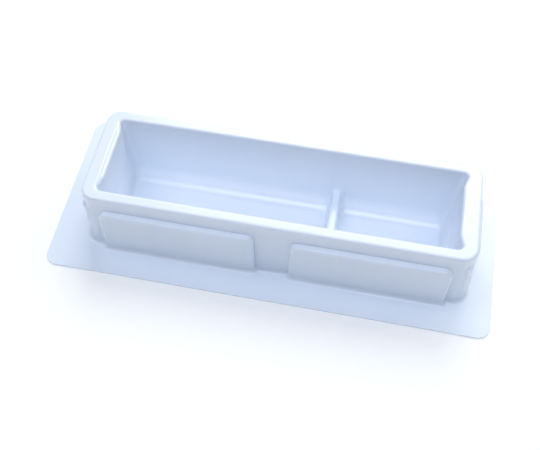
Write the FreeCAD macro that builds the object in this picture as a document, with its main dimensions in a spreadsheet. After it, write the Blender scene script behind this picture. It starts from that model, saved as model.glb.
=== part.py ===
"""Divided reagent reservoir: one tray, drawn from a single sheet of white polystyrene.

The tray is the difference of two solid forms. The upper form ends at the side of the
sheet that faces up and out. The lower form is the hollow under the tray, and is the
same shape set back by the thickness of the sheet. Both come from the same functions.

X runs along the tray, Y across it, Z up. The short compartment is on the +X side. The
flange is longer on the left, so everything is drawn about the middle of the rim, and the
finished tray is moved until the middle of its flange is over the origin.
"""
import FreeCAD, Part
import os
import Sketcher

V = FreeCAD.Vector
TOLERANCE = 1e-3
HALF = 0.5

# Driving sizes: millimetres and degrees.
SIZES = [
    ("sheet_thickness", 0.6, "thickness of the formed sheet"),
    ("left_flange", 13.4, "left end of the rim to the left edge of the flange"),
    ("right_flange", 10.0, "right end of the rim to the right edge of the flange"),
    ("side_flange", 12.6, "long sides of the rim to the edges of the flange"),
    ("flange_corner_radius", 4.5, "flange corners, in plan"),
    ("tray_height", 26.3, "underside of the flange to the top of the rim"),
    ("rim_length", 128.6, "outside of the rim, along X"),
    ("rim_width", 37.3, "outside of the rim, along Y"),
    ("side_rim", 3.85, "width of the rim along the long sides"),
    ("end_rim", 4.8, "width of the rim at the ends"),
    ("rim_outer_bend", 1.1, "outer bend of the rim"),
    ("rim_inner_bend", 1.0, "inner bend of the rim"),
    ("skirt_draft", 2.5, "slope of the outer walls from upright"),
    ("skirt_corner_radius", 5.0, "upright corners of the outer walls"),
    ("foot_bend", 1.5, "bend from the outer walls to the flange"),
    ("basin_draft", 10.0, "slope of the basin walls from upright"),
    ("floor_height", 1.6, "upper side of the basin floor above the table"),
    ("floor_bend", 6.0, "bend from the long walls to the floor"),
    ("basin_corner_radius", 1.8, "upright corners of the basin, and its end bends"),
    ("bulge_depth", 1.3, "how far the end walls bulge into the basin at the rim"),
    ("bulge_width", 19.6, "face of a bulge at the rim, along Y"),
    ("bulge_foot_width", 13.0, "face of a bulge at the floor, along Y"),
    ("bulge_draft", 5.0, "slope of the face of a bulge from upright"),
    ("bulge_root", 0.5, "how far the back of a bulge lies inside the end wall"),
    ("bulge_turn", 17.0, "turn from the face of a bulge to its sides"),
    ("bulge_edge_bend", 1.5, "upright edges of a bulge"),
    ("divider_offset", 17.4, "middle of the rim to the middle of the divider"),
    ("divider_height", 9.0, "top of the divider above the table"),
    ("divider_width", 2.6, "top of the divider"),
    ("divider_draft", 8.0, "slope of the divider sides from upright"),
    ("divider_edge_bend", 1.0, "top edges of the divider"),
    ("divider_foot_bend", 1.5, "bend from the divider to the basin"),
    ("lug_height", 20.4, "ledge on the lugs above the table"),
    ("lug_draft", 0.5, "slope of the faces of the lugs from upright"),
    ("lug_corner_bend", 3.0, "upper corners of the lugs, seen square on"),
    ("lug_edge_bend", 1.0, "bend around the face of a lug"),
    ("side_lug_gap", 11.8, "gap between the ledges of the two lugs of a long side"),
    ("side_lug_inset", 6.1, "end of the rim to the end of the ledge of a side lug"),
    ("side_lug_stand", 2.6, "how far the ledge of a side lug stands out past the rim"),
    ("end_lug_width", 22.0, "ledge on a lug of an end, along Y"),
    ("end_lug_stand", 1.6, "how far the ledge of an end lug stands out past the rim"),
    ("corner_lug_radius", 2.2, "round lug at each corner of the outer walls"),
    ("corner_lug_inset", 2.2, "middle of a corner lug, in from the rim both ways"),
    ("under_depth", 5.0, "depth of the block below the table that shapes the underside"),
]


def make_sheet(doc):
    """Spreadsheet of the driving sizes, with one alias for each."""
    sheet = doc.addObject("Spreadsheet::Sheet", "Sizes")
    for row, (alias, value, note) in enumerate(SIZES, start=1):
        sheet.set(f"A{row}", alias)
        sheet.set(f"B{row}", str(value))
        sheet.set(f"C{row}", note)
        sheet.setAlias(f"B{row}", alias)
    doc.recompute()
    return sheet


def size(name):
    """Expression that reads a driving size as a length."""
    return f"(Sizes.{name} * 1 mm)"


def turn(name):
    """Expression that reads a driving size as an angle."""
    return f"(Sizes.{name} * 1 deg)"


def minus(expression):
    """Expression with its sign changed."""
    return f"(0 mm - ({expression}))"


class Form:
    """One side of the sheet: its name, and its set-back from the visible side."""

    def __init__(self, doc, prefix, back):
        self.doc = doc
        self.prefix = prefix
        self.back = back

    def named(self, text):
        """Name of an object that belongs to this form."""
        return self.prefix + text

    def convex(self, name):
        """Radius of a bend that the set-back makes tighter."""
        return f"({size(name)} - {self.back})"

    def concave(self, name):
        """Radius of a bend that the set-back makes wider."""
        return f"({size(name)} + {self.back})"

    def level(self, name):
        """Height of a surface that faces up."""
        return f"({size(name)} - {self.back})"

    def wall_shift(self, name):
        """How far a sloping wall moves where it meets the lowered surface above it."""
        return f"({self.back} / cos({turn(name)}) - {self.back} * tan({turn(name)}))"

    def read(self, expression):
        """Value of an expression, in millimetres."""
        return self.doc.Sizes.evalExpression(expression).Value


# ---------------------------------------------------------------- drawing helpers

def origin_plane(body, role):
    """One of a body's own origin planes."""
    for feature in body.Origin.OriginFeatures:
        if feature.Role == role:
            return feature
    raise ValueError(role)


def make_body(form, text):
    """Empty body of a form."""
    body = form.doc.addObject("PartDesign::Body", form.named(text))
    form.doc.recompute()
    return body


def make_sketch(body, text, role, offset):
    """Empty sketch on an origin plane, raised by an expression."""
    sketch = body.newObject("Sketcher::SketchObject", text)
    sketch.AttachmentSupport = [(origin_plane(body, role), "")]
    sketch.MapMode = "FlatFace"
    sketch.setExpression("AttachmentOffset.Base.z", offset)
    return sketch


def place_point(sketch, geometry, point, across, up):
    """Hold one point of a sketch at a place given by two expressions."""
    for kind, expression in (("DistanceX", across), ("DistanceY", up)):
        value = sketch.evalExpression(expression).Value
        held = Sketcher.Constraint(kind, -1, 1, geometry, point, value)
        number = sketch.addConstraint(held)
        sketch.setExpression(f"Constraints[{number}]", expression)


def draw_polygon(sketch, corners):
    """Closed polygon with every corner placed by expressions."""
    places = []
    for across, up in corners:
        x = sketch.evalExpression(across).Value
        y = sketch.evalExpression(up).Value
        places.append(V(x, y, 0))
    count = len(places)
    for index in range(count):
        line = Part.LineSegment(places[index], places[(index + 1) % count])
        sketch.addGeometry(line, False)
    for index in range(count):
        following = (index + 1) % count
        sketch.addConstraint(Sketcher.Constraint("Coincident", index, 2, following, 1))
    for index, (across, up) in enumerate(corners):
        place_point(sketch, index, 1, across, up)


def draw_circle(sketch, index, radius, across, up):
    """Circle placed and sized by expressions."""
    value = sketch.evalExpression(radius).Value
    sketch.addGeometry(Part.Circle(V(0, 0, 0), V(0, 0, 1), value), False)
    place_point(sketch, index, 3, across, up)
    number = sketch.addConstraint(Sketcher.Constraint("Radius", index, value))
    sketch.setExpression(f"Constraints[{number}]", radius)


def rectangle(half_x, half_y):
    """Corners of a rectangle about the origin."""
    return [(minus(half_x), minus(half_y)), (half_x, minus(half_y)),
            (half_x, half_y), (minus(half_x), half_y)]


def add_pad(body, text, sketch, length, taper=None, reverse=False, middle=False):
    """Pad whose length and taper are expressions."""
    pad = body.newObject("PartDesign::Pad", text)
    pad.Profile = sketch
    pad.setExpression("Length", length)
    if taper:
        pad.setExpression("TaperAngle", taper)
    pad.Reversed = reverse
    if middle:
        pad.Midplane = True
    body.Document.recompute()
    return pad


def add_fillet(body, text, base, edges, radius):
    """Fillet of the chosen edges with a radius given by an expression."""
    fillet = body.newObject("PartDesign::Fillet", text)
    fillet.Base = (base, edges)
    fillet.setExpression("Radius", radius)
    body.Document.recompute()
    return fillet


def add_boolean(body, text, kind, tools):
    """Join other bodies to a body, or cut them from it."""
    boolean = body.newObject("PartDesign::Boolean", text)
    boolean.Type = kind
    boolean.setObjects(tools)
    body.Document.recompute()
    return boolean


def pick(shape, test):
    """Names of the edges that pass a test."""
    return [f"Edge{number}" for number, edge in enumerate(shape.Edges, start=1)
            if test(edge)]


def middle_of(edge):
    """Point half-way along an edge."""
    return edge.valueAt(edge.getParameterByLength(edge.Length * HALF))


def flat_at(edge, height):
    """Whether an edge lies in the level plane at a height."""
    box = edge.BoundBox
    return abs(box.ZMin - height) < TOLERANCE and abs(box.ZMax - height) < TOLERANCE


def spans(edge, low, high):
    """Whether an edge runs all the way between two heights."""
    box = edge.BoundBox
    return box.ZMin < low + TOLERANCE and box.ZMax > high - TOLERANCE


def lies_on(edge, skin):
    """Whether the middle of an edge lies on a skin of faces."""
    return skin.distToShape(Part.Vertex(middle_of(edge)))[0] < TOLERANCE


# ---------------------------------------------------------------- the outer walls

def add_slab(form, body):
    """Flange block: above the table for the visible side, below it for the underside."""
    sketch = make_sketch(body, form.named("SlabSketch"), "XY_Plane",
                         f"({size('sheet_thickness')} - {form.back})")
    half_y = f"({size('rim_width')} / 2 + {size('side_flange')})"
    left = minus(f"{size('rim_length')} / 2 + {size('left_flange')}")
    right = f"({size('rim_length')} / 2 + {size('right_flange')})"
    draw_polygon(sketch, [(left, minus(half_y)), (right, minus(half_y)),
                          (right, half_y), (left, half_y)])
    slab = add_pad(body, form.named("Slab"), sketch,
                   f"({size('sheet_thickness')} + {size('under_depth')})", reverse=True)
    upright = pick(slab.Shape, lambda edge: edge.BoundBox.ZLength > TOLERANCE)
    return add_fillet(body, form.named("SlabCorners"), slab, upright,
                      size("flange_corner_radius"))


def round_foot(form, body, base):
    """Bend where the walls of a body meet its slab."""
    height = form.read(f"{size('sheet_thickness')} - {form.back}")
    whole = base.Shape.BoundBox

    def foot(edge):
        box = edge.BoundBox
        inner_x = box.XMin > whole.XMin + TOLERANCE and box.XMax < whole.XMax - TOLERANCE
        inner_y = box.YMin > whole.YMin + TOLERANCE and box.YMax < whole.YMax - TOLERANCE
        return flat_at(edge, height) and inner_x and inner_y

    return add_fillet(body, form.named("Foot"), base, pick(base.Shape, foot),
                      form.concave("foot_bend"))


def make_skirt(form):
    """Flange with the four outer walls, closed on top."""
    body = make_body(form, "Skirt")
    add_slab(form, body)
    shift = form.wall_shift("skirt_draft")
    top = form.level("tray_height")
    sketch = make_sketch(body, form.named("SkirtSketch"), "XY_Plane", top)
    draw_polygon(sketch, rectangle(f"({size('rim_length')} / 2 - {shift})",
                                   f"({size('rim_width')} / 2 - {shift})"))
    walls = add_pad(body, form.named("Walls"), sketch, top,
                    taper=turn("skirt_draft"), reverse=True)
    low = form.read(f"{size('sheet_thickness')} - {form.back}")
    high = form.read(top)
    upright = pick(walls.Shape, lambda edge: spans(edge, low, high))
    corners = add_fillet(body, form.named("WallCorners"), walls, upright,
                         form.convex("skirt_corner_radius"))
    rim = pick(corners.Shape, lambda edge: flat_at(edge, high))
    rounded = add_fillet(body, form.named("RimBend"), corners, rim,
                         form.convex("rim_outer_bend"))
    round_foot(form, body, rounded)
    return body


def round_lug(form, body, base, runs_along):
    """Round the upper corners of a lug, the edges of its faces and its foot."""
    top = form.read(form.level("lug_height"))

    def upper_corner(edge):
        box = edge.BoundBox
        along = box.XLength if runs_along == "X" else box.YLength
        return flat_at(edge, top) and along > form.read(size("rim_width")) * HALF

    def wide_enough(edge):
        box = edge.BoundBox
        across = box.YLength if runs_along == "X" else box.XLength
        return upper_corner(edge) and across < TOLERANCE

    shaped = add_fillet(body, form.named("LugCorners"), base,
                        pick(base.Shape, wide_enough), form.convex("lug_corner_bend"))
    slab_top = form.read(f"{size('sheet_thickness')} - {form.back}")
    faces = [edge for edge in shaped.Shape.Edges if flat_at(edge, top)]
    reach = max(lug_reach(edge, runs_along) for edge in faces)

    def around_face(edge):
        return edge.BoundBox.ZMax > slab_top + TOLERANCE and (
            lug_least(edge, runs_along) > reach - TOLERANCE)

    edged = add_fillet(body, form.named("LugEdges"), shaped,
                       pick(shaped.Shape, around_face), form.convex("lug_edge_bend"))
    return round_foot(form, body, edged)


def lug_reach(edge, runs_along):
    """Farthest reach of an edge from the middle, along the direction of a lug."""
    box = edge.BoundBox
    if runs_along == "X":
        return max(box.XMax, -box.XMin)
    return max(box.YMax, -box.YMin)


def lug_least(edge, runs_along):
    """Nearest reach of an edge to the middle, along the direction of a lug."""
    box = edge.BoundBox
    if runs_along == "X":
        return max(box.XMin, -box.XMax)
    return max(box.YMin, -box.YMax)


def make_side_lug(form, text, sign):
    """Block through the tray whose two ends are the facing lugs of the long sides."""
    body = make_body(form, text)
    add_slab(form, body)
    shift = form.wall_shift("lug_draft")
    top = form.level("lug_height")
    near = f"({size('side_lug_gap')} / 2 + {shift})"
    far = f"({size('rim_length')} / 2 - {size('side_lug_inset')} - {shift})"
    reach = f"({size('rim_width')} / 2 + {size('side_lug_stand')} - {shift})"
    sketch = make_sketch(body, form.named(text + "Sketch"), "XY_Plane", top)
    draw_polygon(sketch, [
        (f"{near} * {sign}", minus(reach)), (f"{far} * {sign}", minus(reach)),
        (f"{far} * {sign}", reach), (f"{near} * {sign}", reach)])
    block = add_pad(body, form.named(text + "Block"), sketch, top,
                    taper=turn("lug_draft"), reverse=True)
    round_lug(form, body, block, "Y")
    return body


def make_end_lug(form):
    """Block through the tray whose two ends are the lugs of the short sides."""
    body = make_body(form, "EndLug")
    add_slab(form, body)
    shift = form.wall_shift("lug_draft")
    top = form.level("lug_height")
    reach = f"({size('rim_length')} / 2 + {size('end_lug_stand')} - {shift})"
    half = f"({size('end_lug_width')} / 2 - {shift})"
    sketch = make_sketch(body, form.named("EndLugSketch"), "XY_Plane", top)
    draw_polygon(sketch, rectangle(reach, half))
    block = add_pad(body, form.named("EndLugBlock"), sketch, top,
                    taper=turn("lug_draft"), reverse=True)
    round_lug(form, body, block, "X")
    return body


def make_corner_lug(form, text, sign_x, sign_y):
    """Round lug with a level top that shows past one corner of the outer walls."""
    body = make_body(form, text)
    shift = form.wall_shift("lug_draft")
    top = form.level("lug_height")
    sketch = make_sketch(body, form.named(text + "Sketch"), "XY_Plane", top)
    inset = size("corner_lug_inset")
    draw_circle(sketch, 0, f"({size('corner_lug_radius')} - {shift})",
                f"({size('rim_length')} / 2 - {inset}) * {sign_x}",
                f"({size('rim_width')} / 2 - {inset}) * {sign_y}")
    add_pad(body, form.named(text + "Post"), sketch, top,
            taper=turn("lug_draft"), reverse=True)
    return body


# ---------------------------------------------------------------- the basin

def make_basin(form):
    """Plain basin that is cut from the form."""
    body = make_body(form, "Basin")
    shift = form.wall_shift("basin_draft")
    sketch = make_sketch(body, form.named("BasinSketch"), "XY_Plane",
                         form.level("tray_height"))
    half_x = f"({size('rim_length')} / 2 - {size('end_rim')} + {shift})"
    half_y = f"({size('rim_width')} / 2 - {size('side_rim')} + {shift})"
    draw_polygon(sketch, rectangle(half_x, half_y))
    block = add_pad(body, form.named("BasinBlock"), sketch,
                    f"({size('tray_height')} - {size('floor_height')})",
                    taper=minus_turn("basin_draft"), reverse=True)
    floor = form.read(form.level("floor_height"))

    def long_edge(edge):
        return flat_at(edge, floor) and edge.BoundBox.YLength < TOLERANCE

    bent = add_fillet(body, form.named("FloorBend"), block,
                      pick(block.Shape, long_edge), form.concave("floor_bend"))
    top = form.read(form.level("tray_height"))

    def end_chain(edge):
        box = edge.BoundBox
        return box.XLength < form.read(half_x) * HALF and not flat_at(edge, top)

    add_fillet(body, form.named("BasinCorners"), bent, pick(bent.Shape, end_chain),
               form.concave("basin_corner_radius"))
    return body


def minus_turn(name):
    """Expression that reads a driving size as an angle the other way."""
    return f"(0 deg - {turn(name)})"


def bulge_corners(form, sign, front, half, back):
    """Plan of a bulge at one height, from its face to inside the end wall."""
    spread = f"({half} + ({back} - {front}) / tan({turn('bulge_turn')}))"
    return [(f"{front} * {sign}", minus(half)), (f"{back} * {sign}", minus(spread)),
            (f"{back} * {sign}", spread), (f"{front} * {sign}", half)]


def make_bulge(form, text, sign):
    """Bulge of one end wall, with a face steeper than the wall so that it fades out."""
    body = make_body(form, text)
    wall = f"({size('rim_length')} / 2 - {size('end_rim')})"
    depth = f"({size('tray_height')} - {size('floor_height')})"
    shift = form.wall_shift("bulge_draft")
    narrow = f"({form.back} * tan({turn('bulge_turn')} / 2))"
    back = f"({wall} + {size('bulge_root')} + {shift})"
    front = f"({wall} - {size('bulge_depth')} + {shift})"
    lean = f"({depth} * tan({turn('bulge_draft')}))"
    foot_front = f"({front} - {lean})"
    foot_back = f"({back} - {lean})"
    upper = make_sketch(body, form.named(text + "Upper"), "XY_Plane",
                        form.level("tray_height"))
    draw_polygon(upper, bulge_corners(
        form, sign, front, f"({size('bulge_width')} / 2 - {narrow})", back))
    lower = make_sketch(body, form.named(text + "Lower"), "XY_Plane",
                        form.level("floor_height"))
    draw_polygon(lower, bulge_corners(
        form, sign, foot_front, f"({size('bulge_foot_width')} / 2 - {narrow})",
        foot_back))
    form.doc.recompute()
    loft = body.newObject("PartDesign::AdditiveLoft", form.named(text + "Loft"))
    loft.Profile = upper
    loft.Sections = [lower]
    loft.Ruled = True
    form.doc.recompute()
    low = form.read(form.level("floor_height"))
    high = form.read(form.level("tray_height"))
    limit = form.read(back) - TOLERANCE
    halfway = form.read(f"({back} - {lean} / 2)") - TOLERANCE

    def front_edge(edge):
        return spans(edge, low, high) and abs(middle_of(edge).x) < halfway

    edged = add_fillet(body, form.named(text + "Edges"), loft,
                       pick(loft.Shape, front_edge), form.convex("bulge_edge_bend"))

    def brow(edge):
        return flat_at(edge, high) and abs(middle_of(edge).x) < limit

    add_fillet(body, form.named(text + "Brow"), edged, pick(edged.Shape, brow),
               form.convex("rim_inner_bend"))
    return body


def make_divider(form):
    """Low wall across the basin."""
    body = make_body(form, "Divider")
    top = form.level("divider_height")
    bottom = f"({form.level('floor_height')} / 2)"
    half_top = f"({size('divider_width')} / 2 - {form.wall_shift('divider_draft')})"
    half_bottom = f"({half_top} + ({top} - {bottom}) * tan({turn('divider_draft')}))"
    centre = size("divider_offset")
    sketch = make_sketch(body, form.named("DividerSketch"), "XZ_Plane", "0 mm")
    draw_polygon(sketch, [
        (f"({centre} - {half_bottom})", bottom), (f"({centre} + {half_bottom})", bottom),
        (f"({centre} + {half_top})", top), (f"({centre} - {half_top})", top)])
    ridge = add_pad(body, form.named("Ridge"), sketch,
                    f"({size('rim_width')} - 2 * {size('side_rim')})", middle=True)
    height = form.read(top)

    def top_edge(edge):
        return flat_at(edge, height) and edge.BoundBox.XLength < TOLERANCE

    add_fillet(body, form.named("RidgeEdges"), ridge, pick(ridge.Shape, top_edge),
               form.convex("divider_edge_bend"))
    return body


# ---------------------------------------------------------------- the tray

def round_inner_rim(form, body, base):
    """Bend from the rim down into the plain basin."""
    top = form.read(form.level("tray_height"))
    outer = f"({size('rim_outer_bend')} + {size('rim_inner_bend')})"
    limit_x = form.read(f"({size('rim_length')} / 2 - {outer})")
    limit_y = form.read(f"({size('rim_width')} / 2 - {outer})")

    def inner_rim(edge):
        middle = middle_of(edge)
        return flat_at(edge, top) and abs(middle.x) < limit_x and abs(middle.y) < limit_y

    return add_fillet(body, form.named("InnerRim"), base, pick(base.Shape, inner_rim),
                      form.convex("rim_inner_bend"))


def make_lugs(form):
    """All the lugs that stand out past the outer walls."""
    lugs = [make_side_lug(form, "LeftLug", -1), make_side_lug(form, "RightLug", 1)]
    lugs.append(make_end_lug(form))
    for sign_x, side in ((-1, "Left"), (1, "Right")):
        for sign_y, face in ((-1, "Front"), (1, "Back")):
            lugs.append(make_corner_lug(form, side + face + "Lug", sign_x, sign_y))
    return lugs


def make_form(doc, prefix, back):
    """Solid that ends at one side of the sheet."""
    form = Form(doc, prefix, back)
    body = make_skirt(form)
    lugs = make_lugs(form)
    basin = make_basin(form)
    ridges = [make_bulge(form, "LeftBulge", -1), make_bulge(form, "RightBulge", 1)]
    divider = make_divider(form)
    basin_skin = Part.makeCompound(basin.Shape.Faces)
    divider_skin = Part.makeCompound(divider.Shape.Faces)
    add_boolean(body, form.named("WithLugs"), "Fuse", lugs)
    hollow = add_boolean(body, form.named("WithBasin"), "Cut", [basin])
    round_inner_rim(form, body, hollow)
    joined = add_boolean(body, form.named("WithRidges"), "Fuse", ridges + [divider])
    root = pick(joined.Shape,
                lambda edge: lies_on(edge, basin_skin) and lies_on(edge, divider_skin))
    add_fillet(body, form.named("DividerFoot"), joined, root,
               form.concave("divider_foot_bend"))
    return body


def make_tray(doc):
    """The sheet: what lies between the two forms."""
    upper = make_form(doc, "Upper", "0 mm")
    lower = make_form(doc, "Lower", size("sheet_thickness"))
    tray = doc.addObject("Part::Cut", "reservoir_tray")
    tray.Base = upper
    tray.Tool = lower
    tray.Label = "reservoir_tray"
    tray.setExpression("Placement.Base.x",
                       f"({size('left_flange')} - {size('right_flange')}) / 2")
    doc.recompute()
    return tray


def check(doc, tray):
    """Stop if any object failed or the tray is not one sound solid."""
    for item in doc.Objects:
        if "Invalid" in item.State or "Error" in item.State:
            raise ValueError(f"{item.Name}: {item.State}")
    if tray.Shape.isNull() or not tray.Shape.isValid():
        raise ValueError("the tray has no sound shape")
    if len(tray.Shape.Solids) != 1:
        raise ValueError("the tray is not one solid")


def main():
    """Draw the tray and write it."""
    doc = FreeCAD.newDocument("ReagentReservoir")
    make_sheet(doc)
    tray = make_tray(doc)
    check(doc, tray)
    os.makedirs("parts", exist_ok=True)
    tray.Shape.exportStep(f"parts/{tray.Label}.step")


main()
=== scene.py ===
"""Looks of the divided reagent reservoir: white polystyrene sheet, formed in one go.

The CAD solid carries the whole shape, so this file gives it its plastic, and sets
the floor, the lights and the camera around it. Metres; X along the tray, Z up.
"""

import math

import bmesh
import bpy
from mathutils import Matrix, Vector

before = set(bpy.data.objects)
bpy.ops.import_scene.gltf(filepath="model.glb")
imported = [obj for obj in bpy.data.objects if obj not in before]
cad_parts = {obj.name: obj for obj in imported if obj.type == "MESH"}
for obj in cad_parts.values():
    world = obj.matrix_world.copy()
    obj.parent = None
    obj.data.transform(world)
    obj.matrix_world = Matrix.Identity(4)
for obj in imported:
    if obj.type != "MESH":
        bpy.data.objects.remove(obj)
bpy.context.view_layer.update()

TRAY = "reservoir_tray"

# ------------------------------------------------------------------ the camera

CAMERA_AZIMUTH = math.radians(11.0)
CAMERA_ELEVATION = math.radians(58.53)
CAMERA_DISTANCE = 0.28568
CAMERA_ASIDE = -0.00273
CAMERA_ABOVE = -0.00087
CAMERA_LENS = 53.69
SENSOR = 36.0


def place_camera():
    """Camera that looks down on the tray from in front, a little to the right."""
    flat = math.cos(CAMERA_ELEVATION)
    back = Vector((math.sin(CAMERA_AZIMUTH) * flat, -math.cos(CAMERA_AZIMUTH) * flat,
                   math.sin(CAMERA_ELEVATION)))
    right = Vector((math.cos(CAMERA_AZIMUTH), math.sin(CAMERA_AZIMUTH), 0.0))
    up = back.cross(right)
    turn = Matrix((right, up, back)).transposed()
    spot = turn @ Vector((CAMERA_ASIDE, CAMERA_ABOVE, CAMERA_DISTANCE))
    data = bpy.data.cameras.new("camera")
    data.lens = CAMERA_LENS
    data.sensor_width = SENSOR
    data.clip_start = 0.01
    data.clip_end = 20.0
    camera = bpy.data.objects.new("camera", data)
    camera.matrix_world = Matrix.Translation(spot) @ turn.to_4x4()
    bpy.context.scene.collection.objects.link(camera)
    bpy.context.scene.camera = camera


# ------------------------------------------------------------------ node writing

class Value:
    """A socket that can be used in arithmetic; each operation adds its Math node."""

    def __init__(self, shader, socket):
        self.shader = shader
        self.socket = socket

    def _maths(self, operation, *values):
        return self.shader.node("ShaderNodeMath", {"operation": operation}, values)

    def __add__(self, other):
        return self._maths("ADD", self, other)

    def __mul__(self, other):
        return self._maths("MULTIPLY", self, other)

    __radd__ = __add__
    __rmul__ = __mul__


class Shader:
    """One material's nodes."""

    def __init__(self, name):
        self.material = bpy.data.materials.new(name)
        self.material.use_nodes = True
        self.tree = self.material.node_tree
        self.tree.nodes.clear()

    def node(self, kind, settings, sockets, output=0):
        """Add a node; sockets is a list in socket order, or a dict by name."""
        node = self.tree.nodes.new(kind)
        for key, value in settings.items():
            setattr(node, key, value)
        named = sockets.items() if isinstance(sockets, dict) else enumerate(sockets)
        for key, value in named:
            if isinstance(value, Value):
                self.tree.links.new(value.socket, node.inputs[key])
            else:
                node.inputs[key].default_value = value
        return Value(self, node.outputs[output]) if node.outputs else None

    def noise(self, where, scale, detail):
        """Smooth noise from 0 to 1."""
        return self.node("ShaderNodeTexNoise", {"noise_dimensions": "3D"},
                         {"Vector": where, "Scale": scale, "Detail": detail}, "Fac")

    def stretched(self, where, scale):
        """Coordinates stretched about the origin."""
        return self.node("ShaderNodeMapping", {"vector_type": "POINT"},
                         {"Vector": where, "Scale": scale}, "Vector")

    def blend(self, amount, first, second):
        """Mix of two colours."""
        return self.node("ShaderNodeMix", {"data_type": "RGBA"},
                         {"Factor": amount, "A": first, "B": second}, "Result")

    def finish(self, sockets):
        """Principled shader on the material's output."""
        surface = self.node("ShaderNodeBsdfPrincipled", {}, sockets, "BSDF")
        self.node("ShaderNodeOutputMaterial", {}, {"Surface": surface})
        return self.material


# ------------------------------------------------------------------ finishes

DEEP_WHITE = (0.78, 0.855, 0.965, 1.0)
PALE_WHITE = (0.835, 0.9, 0.99, 1.0)
POLYSTYRENE_IOR = 1.59
# Noise scales, per metre.
CLOUD_SCALE = 40.0
RIPPLE_SCALE = 110.0
GRAIN_SCALE = 1500.0
# Streaks that run up the walls, as the sheet is drawn.
STREAK_SCALE = (240.0, 240.0, 30.0)


def white_polystyrene():
    """Bright, slightly bluish white sheet with a soft gloss."""
    shader = Shader("white_polystyrene")
    place = shader.node("ShaderNodeTexCoord", {}, {}, "Object")
    cloud = shader.noise(place, CLOUD_SCALE, 2.0)
    drawn = shader.noise(shader.stretched(place, STREAK_SCALE), 1.0, 2.0)
    ripple = shader.noise(place, RIPPLE_SCALE, 1.0)
    grain = shader.noise(place, GRAIN_SCALE, 1.0)
    colour = shader.blend(cloud * 0.6 + drawn * 0.4, DEEP_WHITE, PALE_WHITE)
    rough = cloud * 0.06 + drawn * 0.06 + grain * 0.04 + 0.13
    bump = shader.node("ShaderNodeBump", {}, {"Strength": 0.04, "Distance": 0.0004,
                                              "Height": ripple + grain * 0.12}, "Normal")
    return shader.finish({"Base Color": colour, "Roughness": rough, "Normal": bump,
                          "IOR": POLYSTYRENE_IOR})


FLOOR_WHITE = (0.95, 0.945, 0.93, 1.0)
FLOOR_GLOW = (1.0, 1.0, 1.0, 1.0)
FLOOR_GLOW_STRENGTH = 0.08


def floor_finish():
    """Plain pale floor, lit a little from below so that shadows stay soft."""
    shader = Shader("pale_floor")
    return shader.finish({"Base Color": FLOOR_WHITE, "Roughness": 0.9,
                          "Specular IOR Level": 0.1, "Emission Color": FLOOR_GLOW,
                          "Emission Strength": FLOOR_GLOW_STRENGTH})


# ------------------------------------------------------------------ the room

FLOOR_REACH = 5.0


def make_floor():
    """Level ground under the tray."""
    mesh = bpy.data.meshes.new("floor")
    shape = bmesh.new()
    bmesh.ops.create_grid(shape, x_segments=1, y_segments=1, size=FLOOR_REACH)
    shape.to_mesh(mesh)
    shape.free()
    mesh.materials.append(floor_finish())
    floor = bpy.data.objects.new("floor", mesh)
    bpy.context.scene.collection.objects.link(floor)


ROOM_COLOUR = (0.82, 0.89, 1.0, 1.0)
ROOM_STRENGTH = 0.21
LIGHT_DISTANCE = 2.4
LIGHT_SIZE = 1.2
# Name, degrees round from behind towards the right, degrees up, watts, colour.
LIGHTS = [
    ("key", 0.0, 45.0, 25.6, (1.0, 0.985, 0.94)),
    ("key_right", 45.0, 42.0, 10.8, (1.0, 0.975, 0.92)),
    ("right", 90.0, 40.0, 1.6, (0.93, 0.97, 1.0)),
    ("right_high", 90.0, 65.0, 4.6, (0.9, 0.95, 1.0)),
    ("left_high", 265.0, 60.0, 11.8, (0.92, 0.94, 1.0)),
    ("front_high", 180.0, 74.0, 16.4, (0.75, 0.82, 1.0)),
]


def add_light(name, azimuth, elevation, power, colour):
    """Large soft square light that faces the tray."""
    data = bpy.data.lights.new(name, "AREA")
    data.shape = "SQUARE"
    data.size = LIGHT_SIZE
    data.energy = power
    data.color = colour
    side = math.radians(azimuth)
    height = math.radians(elevation)
    flat = math.cos(height)
    spot = LIGHT_DISTANCE * Vector((flat * math.sin(side), flat * math.cos(side),
                                    math.sin(height)))
    turn = (-spot).to_track_quat("-Z", "Y").to_matrix().to_4x4()
    light = bpy.data.objects.new(name, data)
    light.matrix_world = Matrix.Translation(spot) @ turn
    bpy.context.scene.collection.objects.link(light)


def light_room():
    """Pale room, with large soft lights: the strongest are behind and to the right."""
    world = bpy.data.worlds.new("studio")
    world.use_nodes = True
    background = world.node_tree.nodes["Background"]
    background.inputs["Color"].default_value = ROOM_COLOUR
    background.inputs["Strength"].default_value = ROOM_STRENGTH
    bpy.context.scene.world = world
    bpy.context.scene.view_settings.view_transform = "Standard"
    for light in LIGHTS:
        add_light(*light)


# ------------------------------------------------------------------ the scene

def main():
    """Dress the tray and set it on its floor."""
    place_camera()
    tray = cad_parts[TRAY]
    finish = white_polystyrene()
    for slot in tray.material_slots:
        slot.material = finish
    make_floor()
    light_room()


main()
